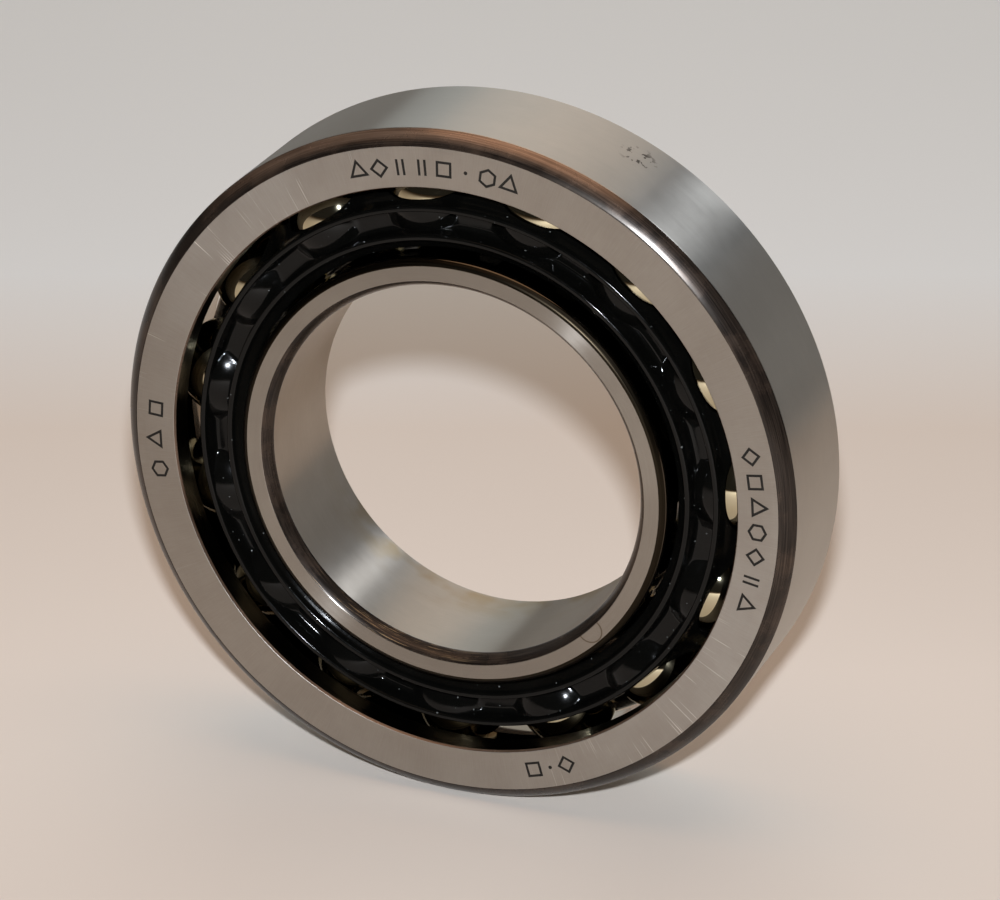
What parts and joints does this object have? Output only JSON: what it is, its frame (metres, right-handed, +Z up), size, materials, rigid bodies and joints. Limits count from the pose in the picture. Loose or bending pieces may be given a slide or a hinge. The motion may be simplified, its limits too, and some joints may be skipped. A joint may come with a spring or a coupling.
{
  "type": "angular contact ball bearing",
  "caption": "Open single-row angular contact ball bearing: offset-shoulder steel rings, polished balls in a one-piece black window cage; carries radial and one-way axial load",
  "frame": {"origin": "centre of the bearing: on its axis, midway between its two side faces", "axes": "+Y along the bearing axis from the front face (wide outer-ring face, narrow inner-ring face) to the back face; +Z up with the bearing standing on its rim; +X to the right seen from the front"},
  "size_m": [0.1, 0.021, 0.1],
  "materials": {
    "ring_steel": "ground bearing steel, dark oxide left on the chamfers",
    "ball_steel": "polished bearing steel",
    "cage_polyamide": "moulded black polyamide, glossy"
  },
  "bodies": {
    "outer_ring": {"outer_ring": "ring_steel"},
    "inner_ring": {"inner_ring": "ring_steel"},
    "cage": {"cage": "cage_polyamide"},
    "ball_01": {"ball_01": "ball_steel"},
    "ball_02": {"ball_02": "ball_steel"},
    "ball_03": {"ball_03": "ball_steel"},
    "ball_04": {"ball_04": "ball_steel"},
    "ball_05": {"ball_05": "ball_steel"},
    "ball_06": {"ball_06": "ball_steel"},
    "ball_07": {"ball_07": "ball_steel"},
    "ball_08": {"ball_08": "ball_steel"},
    "ball_09": {"ball_09": "ball_steel"},
    "ball_10": {"ball_10": "ball_steel"},
    "ball_11": {"ball_11": "ball_steel"},
    "ball_12": {"ball_12": "ball_steel"},
    "ball_13": {"ball_13": "ball_steel"},
    "ball_14": {"ball_14": "ball_steel"},
    "ball_15": {"ball_15": "ball_steel"}
  },
  "joints": [
    {"name": "inner_ring_spin", "type": "hinge", "parent": "outer_ring", "child": "inner_ring", "pos_m": [0, 0, 0], "axis": [0, 1, 0], "continuous": true},
    {"name": "cage_orbit", "type": "hinge", "parent": "outer_ring", "child": "cage", "pos_m": [0, 0, 0], "axis": [0, 1, 0], "continuous": true},
    {"name": "ball_01_spin", "type": "hinge", "parent": "cage", "child": "ball_01", "pos_m": [0.03871, 0, 0.00176], "axis": [0.6421, 0.766, 0.0292], "continuous": true},
    {"name": "ball_02_spin", "type": "hinge", "parent": "cage", "child": "ball_02", "pos_m": [0.03465, 0, 0.01735], "axis": [0.5748, 0.766, 0.2878], "continuous": true},
    {"name": "ball_03_spin", "type": "hinge", "parent": "cage", "child": "ball_03", "pos_m": [0.0246, 0, 0.02994], "axis": [0.408, 0.766, 0.4967], "continuous": true},
    {"name": "ball_04_spin", "type": "hinge", "parent": "cage", "child": "ball_04", "pos_m": [0.01029, 0, 0.03736], "axis": [0.1707, 0.766, 0.6197], "continuous": true},
    {"name": "ball_05_spin", "type": "hinge", "parent": "cage", "child": "ball_05", "pos_m": [-0.00579, 0, 0.03831], "axis": [-0.0961, 0.766, 0.6356], "continuous": true},
    {"name": "ball_06_spin", "type": "hinge", "parent": "cage", "child": "ball_06", "pos_m": [-0.02088, 0, 0.03265], "axis": [-0.3463, 0.766, 0.5415], "continuous": true},
    {"name": "ball_07_spin", "type": "hinge", "parent": "cage", "child": "ball_07", "pos_m": [-0.03235, 0, 0.02133], "axis": [-0.5366, 0.766, 0.3538], "continuous": true},
    {"name": "ball_08_spin", "type": "hinge", "parent": "cage", "child": "ball_08", "pos_m": [-0.03823, 0, 0.00633], "axis": [-0.6342, 0.766, 0.105], "continuous": true},
    {"name": "ball_09_spin", "type": "hinge", "parent": "cage", "child": "ball_09", "pos_m": [-0.0375, 0, -0.00977], "axis": [-0.622, 0.766, -0.162], "continuous": true},
    {"name": "ball_10_spin", "type": "hinge", "parent": "cage", "child": "ball_10", "pos_m": [-0.03028, 0, -0.02418], "axis": [-0.5024, 0.766, -0.401], "continuous": true},
    {"name": "ball_11_spin", "type": "hinge", "parent": "cage", "child": "ball_11", "pos_m": [-0.01783, 0, -0.0344], "axis": [-0.2958, 0.766, -0.5707], "continuous": true},
    {"name": "ball_12_spin", "type": "hinge", "parent": "cage", "child": "ball_12", "pos_m": [-0.0023, 0, -0.03868], "axis": [-0.0381, 0.766, -0.6417], "continuous": true},
    {"name": "ball_13_spin", "type": "hinge", "parent": "cage", "child": "ball_13", "pos_m": [0.01363, 0, -0.03627], "axis": [0.2262, 0.766, -0.6017], "continuous": true},
    {"name": "ball_14_spin", "type": "hinge", "parent": "cage", "child": "ball_14", "pos_m": [0.02721, 0, -0.02759], "axis": [0.4513, 0.766, -0.4577], "continuous": true},
    {"name": "ball_15_spin", "type": "hinge", "parent": "cage", "child": "ball_15", "pos_m": [0.03608, 0, -0.01414], "axis": [0.5985, 0.766, -0.2345], "continuous": true}
  ],
  "couplings": [
    {"joint": "cage_orbit", "follows": "inner_ring_spin", "ratio": 0.42939},
    {"joint": "ball_01_spin", "follows": "inner_ring_spin", "ratio": -2.658},
    {"joint": "ball_02_spin", "follows": "inner_ring_spin", "ratio": -2.658},
    {"joint": "ball_03_spin", "follows": "inner_ring_spin", "ratio": -2.658},
    {"joint": "ball_04_spin", "follows": "inner_ring_spin", "ratio": -2.658},
    {"joint": "ball_05_spin", "follows": "inner_ring_spin", "ratio": -2.658},
    {"joint": "ball_06_spin", "follows": "inner_ring_spin", "ratio": -2.658},
    {"joint": "ball_07_spin", "follows": "inner_ring_spin", "ratio": -2.658},
    {"joint": "ball_08_spin", "follows": "inner_ring_spin", "ratio": -2.658},
    {"joint": "ball_09_spin", "follows": "inner_ring_spin", "ratio": -2.658},
    {"joint": "ball_10_spin", "follows": "inner_ring_spin", "ratio": -2.658},
    {"joint": "ball_11_spin", "follows": "inner_ring_spin", "ratio": -2.658},
    {"joint": "ball_12_spin", "follows": "inner_ring_spin", "ratio": -2.658},
    {"joint": "ball_13_spin", "follows": "inner_ring_spin", "ratio": -2.658},
    {"joint": "ball_14_spin", "follows": "inner_ring_spin", "ratio": -2.658},
    {"joint": "ball_15_spin", "follows": "inner_ring_spin", "ratio": -2.658}
  ]
}
